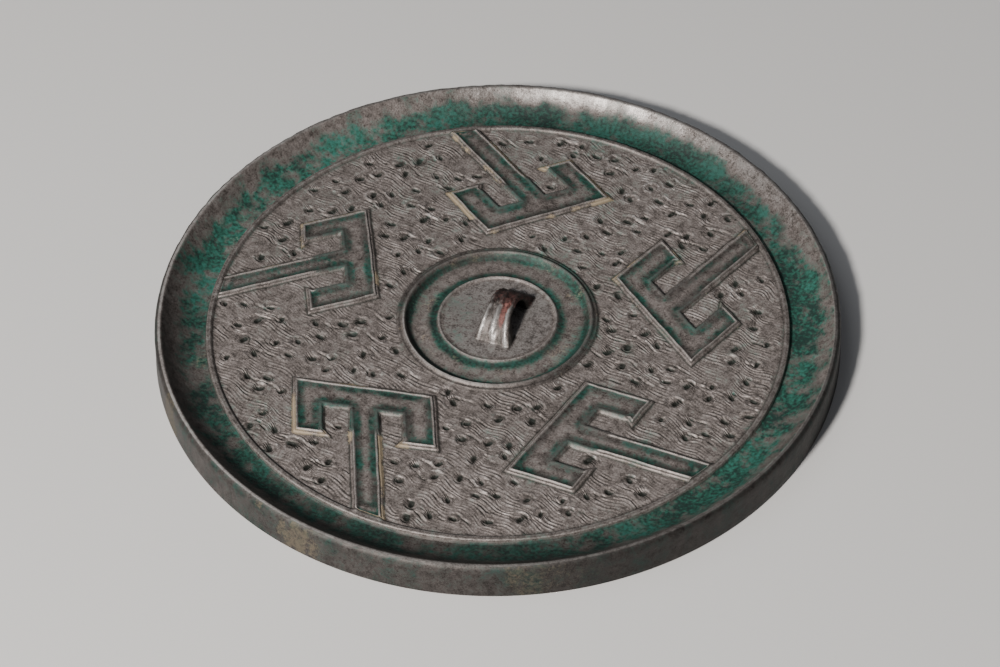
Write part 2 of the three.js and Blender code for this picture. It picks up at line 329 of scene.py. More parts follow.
def motif_corners(place):
    """Corners of the outline. The stem ends where its sides meet the field ring's inner foot."""
    across, along, corner = motif_frame(place)
    length, arm = place["length"], place["arm"]
    first, second = length * FIRST_ARM, length * SECOND_ARM

    def at(p, q):
        return corner + across * p + along * q

    def at_ring(p):
        start = at(p, MOTIF_BAR)
        half = start @ along
        return start + along * (-half + math.sqrt(half * half - start @ start + STEM_REACH ** 2))

    return np.array([
        at(0, 0), at(0, arm), at(first + MOTIF_TIP, arm), at(first, arm - MOTIF_TIP_DEPTH),
        at(first, MOTIF_BAR),
        at(length * STEM_START, MOTIF_BAR), at_ring(length * STEM_START),
        at_ring(length * STEM_END), at(length * STEM_END, MOTIF_BAR),
        at(second, MOTIF_BAR), at(second, arm - MOTIF_TIP_DEPTH), at(second - MOTIF_TIP, arm),
        at(length, arm), at(length, 0),
    ])


def inset(corners, distance):
    """The outline, which runs counter-clockwise, moved in. Its end on the ring hardly moves."""
    step = np.roll(corners, -1, 0) - corners
    step /= np.linalg.norm(step, axis=1)[:, None]
    normal = np.column_stack([-step[:, 1], step[:, 0]])
    moved = []
    for i in range(len(corners)):
        before = (i - 1) % len(corners)
        d0 = distance * (STEM_END_SHARE if before == STEM_END_EDGE else 1.0)
        d1 = distance * (STEM_END_SHARE if i == STEM_END_EDGE else 1.0)
        a, b = corners[i] + normal[before] * d0, corners[i] + normal[i] * d1
        cross = step[before][0] * step[i][1] - step[before][1] * step[i][0]
        t = ((b - a)[0] * step[i][1] - (b - a)[1] * step[i][0]) / cross
        moved.append(a + step[before] * t)
    return np.array(moved)


def fine_outline(corners, counts):
    """Points along the outline, with a slight hand-made waver that fades out at the ring."""
    points = []
    for i, count in enumerate(counts):
        a, b = corners[i], corners[(i + 1) % len(corners)]
        for k in range(count):
            points.append(a + (b - a) * k / count)
    points = np.array(points)
    free = smooth_step(FIELD_INNER, FIELD_INNER - WAVER_FADE, np.hypot(*points.T))
    drift = np.column_stack([noise_a(*points.T, 3.1), noise_b(*points.T, 2.7)])
    return points + drift * (OUTLINE_WAVER * free)[:, None]


def inside_polygon(polygon, x, y):
    """Whether points are inside a closed line: a ray from them crosses it an odd number of times."""
    inside = np.zeros(len(x), bool)
    for (x0, y0), (x1, y1) in zip(polygon, np.roll(polygon, -1, 0)):
        crosses = (y0 > y) != (y1 > y)
        inside ^= crosses & (x < (x1 - x0) * (y - y0) / (y1 - y0 + TINY) + x0)
    return inside


def distance_to_line(polygon, x, y):
    """Distance from points to a closed line."""
    best = np.full(len(x), 1e9)
    for (x0, y0), (x1, y1) in zip(polygon, np.roll(polygon, -1, 0)):
        dx, dy = x1 - x0, y1 - y0
        t = np.clip(((x - x0) * dx + (y - y0) * dy) / (dx * dx + dy * dy + TINY), 0, 1)
        best = np.minimum(best, np.hypot(x - x0 - t * dx, y - y0 - t * dy))
    return best


def clear_of(polygon, x, y, clearance):
    """Whether points are outside a closed line and farther from it than the clearance."""
    return (distance_to_line(polygon, x, y) > clearance) & ~inside_polygon(polygon, x, y)


def near_to(x, y, across, along):
    """Indices of the points within a box round zero."""
    return np.nonzero((np.abs(x) < across) & (np.abs(y) < along))[0]


def grid_points(columns, rows):
    x, y = np.meshgrid(columns, rows)
    return x.ravel(), y.ravel()


# Curls of the ground

def curl_places():
    """Centre, turn, hand and size of each curl, in the same staggered pattern as in the solid."""
    rows = math.ceil(FIELD_INNER / CURL_ROW_PITCH)
    columns = math.ceil(FIELD_INNER / CURL_PITCH)
    found = []
    for row in range(-rows, rows + 1):
        for column in range(-columns, columns + 1):
            stagger = 0.0 if row % 2 == 0 else 0.5
            u = (column + stagger) * CURL_PITCH + CURL_WAVER * math.sin(2.1 * row + 1.7 * column)
            v = row * CURL_ROW_PITCH + CURL_WAVER * math.sin(1.3 * column + 2.9 * row)
            turn = GROUND_TURN + (row * 7 + column * 3) % CURL_TURNS * 2 * math.pi / CURL_TURNS
            hand = 1.0 if (row + column) % 2 else -1.0
            size = 0.84 + 0.08 * ((row * 3 + column * 5) % 4)
            found.append((*turn_point(u, v, GROUND_TURN), turn, hand, size))
    found = np.array(found)
    x, y = found[:, 0], found[:, 1]
    radius = np.hypot(x, y)
    free = (radius > HUB_RADIUS + CURL_CLEARANCE) & (radius < FIELD_INNER - CURL_CLEARANCE)
    for corners, _ in outlines:
        free &= clear_of(corners, x, y, CURL_TO_MOTIF)
    return found[free]


def turn_point(x, y, angle):
    c, s = math.cos(angle), math.sin(angle)
    return x * c - y * s, x * s + y * c


def wave(u, v):
    """How far the ground's fine lines stray sideways."""
    swing = np.sin(u * 2 * math.pi / WAVE_LENGTH + 1.6 * noise_a(u, v, 14.0) + v * 0.21)
    return WAVE_HEIGHT * (0.62 * swing + 0.6 * noise_b(u, v, 8.5)) + 0.24 * noise_c(u, v, 2.3)


def unwaved(x, y):
    """The plane with the lines straightened and shortened, in which the ground is triangulated."""
    u, target = turn_point(x, y, -LINE_TURN)
    v = target.copy()
    for _ in range(UNWAVE_ROUNDS):
        v = target - wave(u, v)
    return np.column_stack([u * LINE_SHORTEN, v])


def curl_relief(x, y):
    """Height of the curls at points: an oval pit, with a groove and a ridge that wind out of it."""
    height = np.zeros(len(x))
    for cx, cy, turn, hand, size in curls:
        near = near_to(x - cx, y - cy, CURL_REACH, CURL_REACH)
        dx, dy = (x[near] - cx) / size, (y[near] - cy) / size
        reach = np.hypot(dx, dy)
        angle = (np.arctan2(dy, dx) - turn) * hand % (2 * math.pi)
        ridge = smooth_step(0.0, 0.6, angle) * smooth_step(6.2, 4.9, angle)
        way = reach - WINDING_START - WINDING_RATE * angle
        long, short = turn_point(dx, dy, -turn)
        local = -CURL_PIT * np.exp(-((long / PIT_LENGTH) ** 2 + (short / PIT_WIDTH) ** 2) ** 2)
        local -= CURL_GROOVE * ridge * np.exp(-(way / 0.17) ** 2)
        local += CURL_RIDGE * ridge * np.exp(-((way - 0.38) / 0.22) ** 2)
        height[near] += local
    return height


def curl_tails(x, y):
    """Depth of the long grooves that run out of some curls, along the ground's lines."""
    u, v = turn_point(x, y, -LINE_TURN)
    depth = np.zeros(len(x))
    for cx, cy, turn, hand, size in curls[::2]:
        cu, cv = turn_point(cx, cy, -LINE_TURN)
        near = near_to(u - cu, v - cv, TAIL_LENGTH + 1, TAIL_REACH)
        along = (u[near] - cu) * hand
        bend = 0.5 * np.sin(along * 0.7 + turn)
        off = v[near] - cv - hand * TAIL_OFFSET * size - bend + 0.3 * hand
        window = smooth_step(-0.8, 0.3, along) * smooth_step(TAIL_LENGTH, TAIL_LENGTH * 0.5, along)
        groove = TAIL_GROOVE * np.exp(-(off / 0.22) ** 2)
        depth[near] += window * (groove - TAIL_RIDGE * np.exp(-((off - 0.5) / 0.26) ** 2))
    return depth


def ground_points():
    """Points of the ground in rows that follow its fine lines, with each point's line height."""
    spacing = LINE_PITCH / len(LINE_ROWS)
    rows = math.ceil(FIELD_INNER / spacing) + SPARE_ROWS
    columns = math.ceil(FIELD_INNER / POINT_STEP) + 2
    row, column = np.meshgrid(
        np.arange(-rows, rows + 1), np.arange(-columns, columns + 1), indexing="ij")
    row, column = row.ravel(), column.ravel()
    u = (column + 0.5 * (row % 2)) * POINT_STEP
    v = row * spacing
    line = np.array(LINE_ROWS)[row % len(LINE_ROWS)]
    line = line * (0.8 + 0.9 * noise_c(u * 0.3, row // len(LINE_ROWS) * 1.7, 1.0)).clip(0.1)
    x, y = turn_point(u, v + wave(u, v), LINE_TURN)
    free = np.ones(len(x), bool)
    for cx, cy, _, _, size in curls:
        near = near_to(x - cx, y - cy, CURL_REACH, CURL_REACH)
        dx, dy = x[near] - cx, y[near] - cy
        reach = np.hypot(dx, dy) + SMALL_REACH
        push = CURL_PUSH ** 2 * smooth_step(CURL_REACH, 1.0, reach)
        moved = np.sqrt(reach ** 2 + push)
        free[near[moved < CURL_PATCH * size + 0.1]] = False
        x[near] += dx * (moved / reach - 1)
        y[near] += dy * (moved / reach - 1)
    return x[free], y[free], line[free]


def curl_points():
    """Points in rings round the middle of every curl, so that its relief is drawn finely."""
    rings = [np.zeros((1, 2))] + [circle(CURL_PATCH * share, n) for share, n in CURL_RINGS]
    local = np.concatenate(rings)
    return (curls[:, None, :2] + local[None] * curls[:, None, 4:5]).reshape(-1, 2)


def ground_height(x, y, line):
    """Height of the ground, its relief, which fades out at the outlines, and the distance to them."""
    radius = np.hypot(x, y)
    edge = np.minimum(radius - HUB_RADIUS, FIELD_INNER - radius)
    for corners, _ in outlines:
        edge = np.minimum(edge, distance_to_line(corners, x, y))
    fade = smooth_step(0.0, 0.5, edge)
    wear = 0.62 * noise_c(x, y, 4.2) + 0.38 * noise_a(x, y, 1.9)
    strength = 0.15 + 1.05 * smooth_step(-0.4, 0.25, wear)
    uneven = 0.07 * noise_a(x, y, 9.0) + 0.05 * noise_b(x, y, 1.9)
    relief = (uneven + LINE_HEIGHT * line * strength + curl_relief(x, y) - curl_tails(x, y)) * fade
    return FIELD_THICKNESS + relief, relief, edge


def ground(outer_ring, hub_ring, motif_rings):
    """The field's ground, between the field ring, the hub and the motifs."""
    x, y, line = ground_points()
    extra = curl_points()
    x, y = np.concatenate([x, extra[:, 0]]), np.concatenate([y, extra[:, 1]])
    line = np.concatenate([line, np.zeros(len(extra))])
    radius = np.hypot(x, y)
    rim = FIELD_INNER - EDGE_GAP
    free = (radius > HUB_RADIUS + POINT_CLEARANCE) & (radius < rim - POINT_CLEARANCE)
    rim_x, rim_y = circle(rim, EDGE_POINTS).T
    x, y = np.concatenate([x[free], rim_x]), np.concatenate([y[free], rim_y])
    line = np.concatenate([line[free], np.zeros(EDGE_POINTS)])
    free = np.ones(len(x), bool)
    for ring in motif_rings:
        free &= clear_of(surface.plan(ring), x, y, POINT_CLEARANCE)
    x, y, line = x[free], y[free], line[free]
    height, relief, edge = ground_height(x, y, line)
    inner = surface.add(np.column_stack([x, y, height]), GROUND, relief / FULL_RELIEF, edge)
    surface.fill([outer_ring, hub_ring] + motif_rings, inner, unwaved)


# Outer rings

def border_height(radius):
    way = (radius - FIELD_OUTER - BORDER_FLAT) / (LIP_INNER - FIELD_OUTER - BORDER_FLAT)
    share = np.clip(way, 0.0, 1.0)
    return BORDER_THICKNESS + (LIP_HEIGHT - BORDER_THICKNESS) * share ** BORDER_CURVE


def stem_height(x, y):
    """Height of the motifs' stems where they run out on to the field ring."""
    height = np.zeros(len(x))
    for place in MOTIF_PLACES:
        across, along, corner = motif_frame(place)
        turn = across[0] * along[1] - across[1] * along[0]
        dx, dy = x - corner[0], y - corner[1]
        p = (dx * along[1] - dy * along[0]) / turn
        q = (across[0] * dy - across[1] * dx) / turn
        side = np.minimum(p - place["length"] * STEM_START, place["length"] * STEM_END - p) * abs(turn)
        distances, rims, _ = zip(*MOTIF_PROFILE)
        rise = np.interp(side, distances, rims) * (q > 0)
        height = np.maximum(height, np.where(side > 0, FIELD_THICKNESS + rise, 0.0))
    return height


def disc_ring(radius, height, zone, relief=0.0, rough=0.0):
    """A ring of points round the disc, uneven by about the roughness given."""
    flat = circle(radius, DISC_SEGMENTS)
    x, y = flat.T
    wobble = rough * (noise_a(x, y, 1.7) + 0.6 * noise_b(x, y, 0.9))
    level = height + wobble
    if FIELD_INNER <= radius < FIELD_INNER + STEM_OVERLAP:
        level = np.maximum(level, stem_height(x, y))
    flat = flat * (1 + 0.4 * wobble / radius)[:, None]
    return surface.add(np.column_stack([flat, level]), zone, relief)


def outer_rings():
    """From the field ring's inner foot over the border and the lip, and down the wall."""
    top = FIELD_THICKNESS + FIELD_RING_RISE
    wall_top = LIP_HEIGHT - 1.05
    rings = [disc_ring(*ring) for ring in (
        (FIELD_INNER, FIELD_THICKNESS, FIELD_RING, -0.5),
        (FIELD_INNER + 0.22, top - 0.16, FIELD_RING, 0.3, 0.03),
        (FIELD_INNER + 0.5, top, FIELD_RING, 0.7, 0.04),
        (FIELD_INNER + 0.85, top - 0.1, FIELD_RING, 0.1, 0.04),
        (FIELD_OUTER - 0.3, top - 0.04, FIELD_RING, 0.6, 0.04),
        (FIELD_OUTER - 0.12, top - 0.3, FIELD_RING, 0.2, 0.03),
        (FIELD_OUTER, BORDER_THICKNESS + 0.1, BORDER, -0.6, 0.03),
    )]
    radii = np.arange(FIELD_OUTER + 0.4, LIP_INNER - 0.3, BORDER_STEP)
    for radius in np.append(radii, LIP_INNER - 0.25):
        rings.append(disc_ring(radius, border_height(radius), BORDER, 0.0, 0.08))
    rings += [disc_ring(*ring) for ring in (
        (LIP_INNER, LIP_HEIGHT - 0.1, BORDER, 0.5, 0.05),
        (LIP_INNER + 0.25, LIP_HEIGHT - 0.05, LIP, 1.0, 0.03),
        (LIP_OUTER, LIP_HEIGHT - 0.08, LIP, 1.0, 0.05),
        (LIP_OUTER + 0.25, LIP_HEIGHT - 0.2, WALL, 0.6, 0.08),
        (LIP_OUTER + 0.6, LIP_HEIGHT - 0.5, WALL, 0.1, 0.1),
        (RING_TOP - 0.04, wall_top, WALL, 0.0, 0.06),
    )]
    for share in (0.2, 0.4, 0.6, 0.8):
        radius = RING_TOP + WALL_LEAN * share - 0.06
        rings.append(disc_ring(radius, wall_top * (1 - share), WALL, 0.0, 0.05))
    rings.append(disc_ring(BASE_RADIUS - 0.01, 0.4, WALL))
    rings.append(disc_ring(BASE_RADIUS - 0.25, 0.0, UNDERSIDE))
    for inner, outer in zip(rings, rings[1:]):
        surface.band(outer, inner)
    return rings[0], rings[-1]


def underside(ring):
    """The flat polished face, with a sparse grid of points."""
    count = int(BASE_RADIUS / UNDERSIDE_STEP)
    steps = np.arange(-count, count + 1) * UNDERSIDE_STEP
    x, y = grid_points(steps, steps)
    inside = np.hypot(x, y) < BASE_RADIUS - 4
    points = np.column_stack([x[inside], y[inside], np.zeros(inside.sum())])
    inner = surface.add(points, UNDERSIDE)
    surface.fill([ring], inner, flip=True)


# Motifs

def notch_share(corners, counts):
    """How far each point of an outline is in a notch, where a plain step takes the rim's place."""
    depth = np.linalg.norm(corners[4] - corners[3])
    shares = []
    for i, count in enumerate(counts):
        length = np.linalg.norm(corners[(i + 1) % len(corners)] - corners[i])
        way = np.arange(count) / count * length
        if i == STEM_END_EDGE + 1:
            way = length - way
        beside_stem = i in (STEM_END_EDGE - 1, STEM_END_EDGE + 1)
        share = smooth_step(depth + 1.0, depth - 1.0, way) if beside_stem else np.zeros(count)
        shares.append(np.ones(count) if i in NOTCH_EDGES else share)
    return np.concatenate(shares)


def motif(corners, counts):
    """One motif: rings from its outline over the rim, then its hollowed face."""
    loops = []
    plain = notch_share(corners, counts)
    for distance, rim, step in MOTIF_PROFILE:
        rise = rim + (step - rim) * plain
        moved = inset(corners, distance)
        flat = fine_outline(moved, counts)
        x, y = flat.T
        stem_end = np.zeros(len(flat), bool)
        first = counts[:STEM_END_EDGE].sum()
        stem_end[first:first + counts[STEM_END_EDGE] + 1] = True
        level = FIELD_THICKNESS + rise + 0.05 * noise_c(x, y, 1.3) * min(1.0, distance * 2)
        level = np.where(stem_end, stem_height(x, y).clip(FIELD_THICKNESS), level)
        relief = np.interp(rise, [0.0, 0.5, 0.93], [-0.8, 0.0, 1.0])
        edge = distance + NOTCH_SHIFT * plain
        loops.append(surface.add(np.column_stack([flat, level]), MOTIF, relief, edge))
    for outer, inner in zip(loops, loops[1:]):
        surface.band(outer, inner)
    last = surface.plan(loops[-1])
    low, high = last.min(0), last.max(0)
    x, y = grid_points(np.arange(low[0], high[0], FACE_STEP), np.arange(low[1], high[1], FACE_STEP))
    free = inside_polygon(last, x, y) & (distance_to_line(last, x, y) > 0.45 * FACE_STEP)
    x, y = x[free], y[free]
    edge = distance_to_line(corners, x, y)
    level = FIELD_THICKNESS + MOTIF_FACE + 0.05 * noise_a(x, y, 3.0) + 0.035 * noise_b(x, y, 1.1)
    inner = surface.add(np.column_stack([x, y, level]), MOTIF, 0.05, edge)
    surface.fill([loops[-1]], inner)
    return loops[0]


# Middle

def hub():
    """The ring round the middle, the channel and the thin ridge, down to the seat."""
    rings = []
    for radius, rise in HUB_PROFILE:
        flat = circle(radius, HUB_SEGMENTS)
        x, y = flat.T
        rough = HUB_ROUGH * (noise_a(x, y, 1.5) + noise_b(x, y, 0.8))
        if radius in (HUB_RADIUS, SEAT_RADIUS):
            rough = np.zeros(len(flat))
        relief = np.interp(radius, *zip(*HUB_RELIEF))
        edge = min(abs(radius - known) for known in CHANNEL_EDGES)
        level = np.column_stack([flat, SEAT_HEIGHT + rise + rough])
        rings.append(surface.add(level, HUB, relief, edge))
    for outer, inner in zip(rings, rings[1:]):
        surface.band(outer, inner)
    return rings[0], rings[-1]


def arch_height(share, height, power):
    """Height of an arch at a share of its length: it stands highest at the crown."""
    span = KNOB_CROWN if share < KNOB_CROWN else 1 - KNOB_CROWN
    out = min(1.0, abs(share - KNOB_CROWN) / span)
    return height * (1 - out ** power) ** (1 / power)


def rib_sink(across):
    """Depth of the flutes between the ribs, at places across the strap from -1 to 1."""
    flute = 0.5 - 0.5 * np.cos(2 * math.pi * (across - RIB_MIDDLE) / RIB_SPACING)
    return RIB_HEIGHT * flute ** 0.8 + 0.35 * smooth_step(0.82, 1.0, np.abs(across))


def strap_ring(share):
    """One closed ring of points round the strap, with each point's relief and its place across."""
    inner_length = KNOB_LENGTH - 2 * STRAP_FOOT
    in_front = share < KNOB_CROWN
    outer = arch_height(share, KNOB_HEIGHT, ARCH_FRONT if in_front else ARCH_BACK)
    under = arch_height(share, KNOB_HEIGHT - STRAP_TOP, ARCH_HOLE)
    rise = outer / KNOB_HEIGHT
    foot_width = KNOB_FOOT_WIDTH if in_front else KNOB_BACK_WIDTH
    width = foot_width + (KNOB_TOP_WIDTH - foot_width) * min(1.0, 1.15 * rise)
    middle = KNOB_X + KNOB_LEAN * rise
    y_out, z_out = KNOB_FRONT + KNOB_LENGTH * share, SEAT_HEIGHT + outer
    y_in, z_in = KNOB_FRONT + STRAP_FOOT + inner_length * share, SEAT_HEIGHT + under
    inward = np.array([y_in - y_out, z_in - z_out])
    inward = inward / np.linalg.norm(inward)
    if outer == 0.0:
        inward = np.array([1.0 if in_front else -1.0, 0.0])
    across = np.linspace(1.0, -1.0, STRAP_ACROSS)
    along = share * KNOB_LENGTH * 1.4
    fine = 0.12 * noise_b(across * 9.0, along, 1.0) + 0.05 * noise_a(across * 22.0, along, 1.0)
    jagged = (0.4 + 0.6 * noise_c(across * 4.0, along, 0.7)).clip(0) * KNOB_ROUGH
    jagged = jagged * smooth_step(0.8, 0.99, rise)
    sink = (rib_sink(across) + fine) * (0.3 + 0.7 * smooth_step(0.0, 0.4, rise)) + 0.1 + jagged
    sink = sink - FOOT_FLARE * math.exp(-outer / FLARE_HEIGHT)
    top = np.column_stack([
        middle + across * width / 2, y_out + sink * inward[0], z_out + sink * inward[1]])
    top[:, 2] = np.maximum(top[:, 2], SEAT_HEIGHT)
    x_in = middle + np.linspace(-0.94, 0.94, STRAP_UNDER) * width / 2
    bottom = np.column_stack([x_in, np.full(STRAP_UNDER, y_in), np.full(STRAP_UNDER, z_in)])
    left = (top[-1] * 0.5 + bottom[0] * 0.5) - [STRAP_BULGE, 0, 0]
    right = (top[0] * 0.5 + bottom[-1] * 0.5) + [STRAP_BULGE, 0, 0]
    outside = 1 - 2.6 * (rib_sink(across) + fine)
    relief = np.concatenate([outside, [0.1], np.full(STRAP_UNDER, -0.8), [-0.4]])
    places = np.concatenate([across, [LEFT_SIDE], np.full(STRAP_UNDER, IN_HOLE), [RIGHT_SIDE]])
    return np.vstack([top, left, bottom, right]), relief, places


def middle_of_disc(seat_ring):
    """The seat, and the strap that stands on it: its two feet are holes in the seat."""
    rings = []
    for step in range(ARCH_STEPS + 1):
        share = (1 - math.cos(math.pi * step / ARCH_STEPS)) / 2
        points, relief, across = strap_ring(share)
        rings.append(surface.add(points, KNOB, relief, across))
    for before, after in zip(rings, rings[1:]):
        surface.band(after, before)
    feet = [rings[0], rings[-1]]
    foot_lines = [surface.plan(foot) for foot in feet]
    steps = np.arange(-SEAT_RADIUS, SEAT_RADIUS, SEAT_STEP)
    x, y = grid_points(steps, steps)
    free = np.hypot(x, y) < SEAT_RADIUS - SEAT_CLEARANCE
    for outline in foot_lines:
        free &= clear_of(outline, x, y, FOOT_CLEARANCE)
    x, y = x[free], y[free]
    edge = SEAT_RADIUS - np.hypot(x, y)
    for outline in foot_lines:
        edge = np.minimum(edge, distance_to_line(outline, x, y))
    uneven = 0.05 * noise_a(x, y, 2.4) + 0.04 * noise_b(x, y, 1.2)
    level = SEAT_HEIGHT + uneven * smooth_step(0, 0.6, edge)
    inner = surface.add(np.column_stack([x, y, level]), SEAT, 0.0, edge)
    surface.fill([seat_ring] + feet, inner)


def build_surface():
    """The whole closed skin of the mirror."""
    field_ring, base_ring = outer_rings()
    motif_rings = [motif(corners, counts) for corners, counts in outlines]
    hub_ring, seat_ring = hub()
    ground(field_ring, hub_ring, motif_rings)
    middle_of_disc(seat_ring)
    underside(base_ring)


# Wear and corrosion: how much of each finish lies at every point of a zone, from about 0 to 1, and a
# tone factor, which darkens or lightens the colour: partly a zone's own tone, partly painted light and
# shade that follow where the key light falls. Directions are in degrees round the disc: seen from the
# camera, the front is 293, the right 23, the back 113 and the left 203.

class Spots:
    """The points of one zone, with what their wear depends on."""

    def __init__(self, points, relief, edge):
        self.x, self.y, self.z = points.T
        self.relief, self.edge = relief, edge
        self.radius = np.hypot(self.x, self.y)
        self.angle = np.degrees(np.arctan2(self.y, self.x)) % 360
        self.broad = noise_a(self.x, self.y, 17.0)
        self.patch = noise_b(self.x, self.y, 6.5) * 0.6 + noise_c(self.x, self.y, 2.6) * 0.4

    def facing(self, direction, width):
        """1 on the side of the disc that faces a direction, falling to 0 at the width."""
        away = np.abs((self.angle - direction + 180) % 360 - 180)
        return smooth_step(width, width * 0.35, away)


def ground_finish(at):
    pits = smooth_step(-0.55, -1.15, at.relief)
    green = 0.17 + 0.08 * at.facing(105, 90) + 0.4 * pits + 0.26 * at.patch
    return dict(
        green=green + 0.18 * smooth_step(0.8, 0.1, at.edge),
        silver=0.14 + 0.35 * smooth_step(0.2, 0.8, at.relief) + 0.15 * at.broad,
        tan=0.3 * smooth_step(0.3, 0.85, at.patch) * at.facing(250, 110),
        # Painted shade in the curls' pits over their dark patina, and a little lighter towards the back.
        shade=1.18 + 0.12 * at.facing(60, 100) - 0.76 * pits)


def motif_finish(at):
    """Green along the inside of the rims, wear on the rims, and tan dust outside them."""
    banks = smooth_step(1.1, 1.35, at.edge) * smooth_step(3.3, 1.9, at.edge)
    foot = smooth_step(0.2, 0.0, at.edge) + np.exp(-((at.edge - 0.66) / 0.12) ** 2)
    vivid = 0.42 + 0.2 * at.facing(265, 60) + 0.14 * at.facing(120, 70) + 0.34 * noise_a(at.x, at.y, 4.0)
    rim = np.exp(-((at.edge - 0.96) / 0.16) ** 2)
    dusty = 0.3 + 0.5 * at.facing(238, 55) + 0.6 * at.facing(92, 60) + 0.35 * at.facing(165, 45)
    patchy = 0.2 + 0.8 * smooth_step(-0.25, 0.35, at.patch + 0.3 * at.broad)
    return dict(
        green=0.22 + banks * vivid + 0.34 * at.patch + 0.2 * foot,
        silver=0.38 * rim + 0.12 * (at.edge > 2.0),
        tan=dusty * patchy * smooth_step(1.0, 0.7, at.edge),
        # Painted shade along the foot of the outline and in the groove inside the rim, darker where the
        # green banks lie, and a little lighter on the right.
        shade=1.12 - 0.66 * banks - 0.45 * foot + 0.08 * at.facing(23, 60))


def field_ring_finish(at):
    return dict(
        green=0.22 + 0.3 * at.patch + 0.2 * smooth_step(0.0, -0.5, at.relief),
        silver=0.15 + 0.35 * np.clip(at.relief, 0, 1),
        # Painted shade in the hollow at the ring's inner foot, where green patina gathers too.
        shade=0.85 + 0.3 * np.clip(at.relief, -1, 0))


def border_finish(at):
    """Green in the hollow, and bare silvery metal where the border climbs to the lip, partly a painted
    highlight at the back.
    """
    climb = smooth_step(LIP_INNER - 4.2, LIP_INNER - 1.0, at.radius)
    vivid = 0.66 + 0.2 * at.facing(75, 80) + 0.26 * at.facing(350, 60) + 0.14 * at.facing(170, 50)
    mottled = 0.3 * noise_a(at.x, at.y, 3.1) + 0.25 * noise_b(at.x, at.y, 1.25)
    # Painted light and shade round the disc: lighter on the right and the back left, darker at the front
    # where the lip's shadow falls.
    light = 0.68 + 0.5 * at.facing(0, 62) + 0.5 * at.facing(160, 50) - 0.26 * at.facing(285, 50)
    return dict(
        green=vivid - (0.5 + 0.32 * at.facing(78, 60)) * climb + mottled + 0.14 * at.broad,
        # Silver strongest at the back: partly silvery metal, partly a painted highlight where the key
        # light glints.
        silver=0.5 * climb * (0.15 + 0.95 * at.facing(85, 58)) + 0.24 * at.patch,
        tan=0.35 * smooth_step(0.2, 0.7, -at.patch) * at.facing(215, 70),
        # Painted shade on the climbing slope, except towards the back.
        shade=light - 0.2 * climb * (1 - at.facing(60, 80)))


def lip_finish(at):
    return dict(
        green=0.2 + 0.3 * at.patch, silver=0.55 + 0.3 * at.patch,
        # Painted light on the left, towards the key light, and painted shade on the right.
        shade=0.56 + 0.5 * at.facing(203, 75) - 0.2 * at.facing(0, 75))


def wall_finish(at):
    streak = noise_c(at.angle * 1.1, at.z * 0.6, 1.0)
    stain = noise_b(at.angle * 0.11, at.z * 0.07, 1.0)
    return dict(
        green=0.44 + 0.25 * at.patch + 0.3 * streak + 0.1 * stain,
        tan=0.62 * smooth_step(-0.05, 0.8, 0.45 * streak + stain) * at.facing(255, 75),
        silver=0.25 * smooth_step(0.2, 0.9, -streak),
        # A dark olive tone of its own, with painted light at the front left and painted shade towards
        # the right.
        shade=0.23 + 0.1 * at.facing(262, 50) - 0.07 * at.facing(350, 75))


def hub_finish(at):
    """Green along both edges of the channel, with painted shade there, and wear on the crest of the ring
    round it, partly a painted highlight at the front.
    """
    radius = at.radius
    near = smooth_step(1.5, 0.3, at.edge)
    near = near * smooth_step(13.3, 13.7, radius) * smooth_step(20.7, 20.3, radius)
    crest = smooth_step(0.7, 1.0, at.relief)
    ring = smooth_step(20.2, 20.9, radius)
    front = at.facing(250, 75)
    # Painted shade along the channel's edges, less at the back, where green patina gathers too.
    dark = 0.64 * near * (1 - 0.6 * at.facing(60, 45))
    return dict(
        green=0.24 + 0.6 * near + 0.34 * at.patch + 0.3 * ring * at.facing(75, 120),
        tan=(radius > 13.9) * (0.2 + 0.2 * noise_b(at.x, at.y, 3.0)),
        # A painted highlight on the ring's crest at the front, with silver there, and the rest of the
        # ring darkened as painted shade.
        silver=(0.3 + 0.6 * front) * crest + 0.12 * (radius < 20),
        shade=1.14 - dark - ring * (0.62 - 0.24 * front - 0.62 * front * crest))


def seat_finish(at):
    stained = smooth_step(1.0, -8.0, at.x) * smooth_step(7.0, 2.0, at.y)
    return dict(
        green=0.16 + 0.26 * stained + 0.2 * at.patch,
        silver=0.5 + 0.1 * at.patch,
        # Painted shade: darker at the seat's rim and round the knob's feet.
        shade=0.93 - 0.25 * smooth_step(0.6, 0.0, at.edge))


def knob_finish(at):
    """Bright worn ribs in front, rust in one flute and over the crest, and painted shade past the crest,
    on the sides, in the hole and at the feet. Edge is the place across.
    """
    across, y = at.edge, at.y
    outside = np.abs(across) < 1.1
    behind = smooth_step(CROWN_Y - 2.3, CROWN_Y - 0.5, y + 1.7 * noise_c(at.x, y, 0.7))
    spread = 0.26 + 0.16 * smooth_step(-3.5, 1.5, y)
    flute = np.exp(-((across - RED_FLUTE) / spread) ** 2) * smooth_step(-6.4, -3.4, y)
    flute = flute * (1 - 0.8 * behind)
    foot = smooth_step(1.2, 0.2, at.z - SEAT_HEIGHT)
    bright = 0.9 * smooth_step(-0.5, 0.9, at.relief) * (1 - 0.5 * foot)
    return dict(
        green=0.15,
        # The ribs' wear is left off past the crest and dimmed at the feet, where painted shade falls.
        silver=bright * (1 - behind) * outside,
        rust=np.clip(0.5 * behind + 0.95 * flute, 0, 1) * (across > IN_HOLE),
        # Painted shade: darker past the crest and at the feet, and darker still on the sides and in the
        # hole.
        shade=np.where(outside, 0.68 - 0.44 * behind - 0.1 * foot, 0.4))


FINISHES = {
    GROUND: ground_finish, MOTIF: motif_finish, FIELD_RING: field_ring_finish, BORDER: border_finish,
    LIP: lip_finish, WALL: wall_finish, HUB: hub_finish, SEAT: seat_finish, KNOB: knob_finish,
}


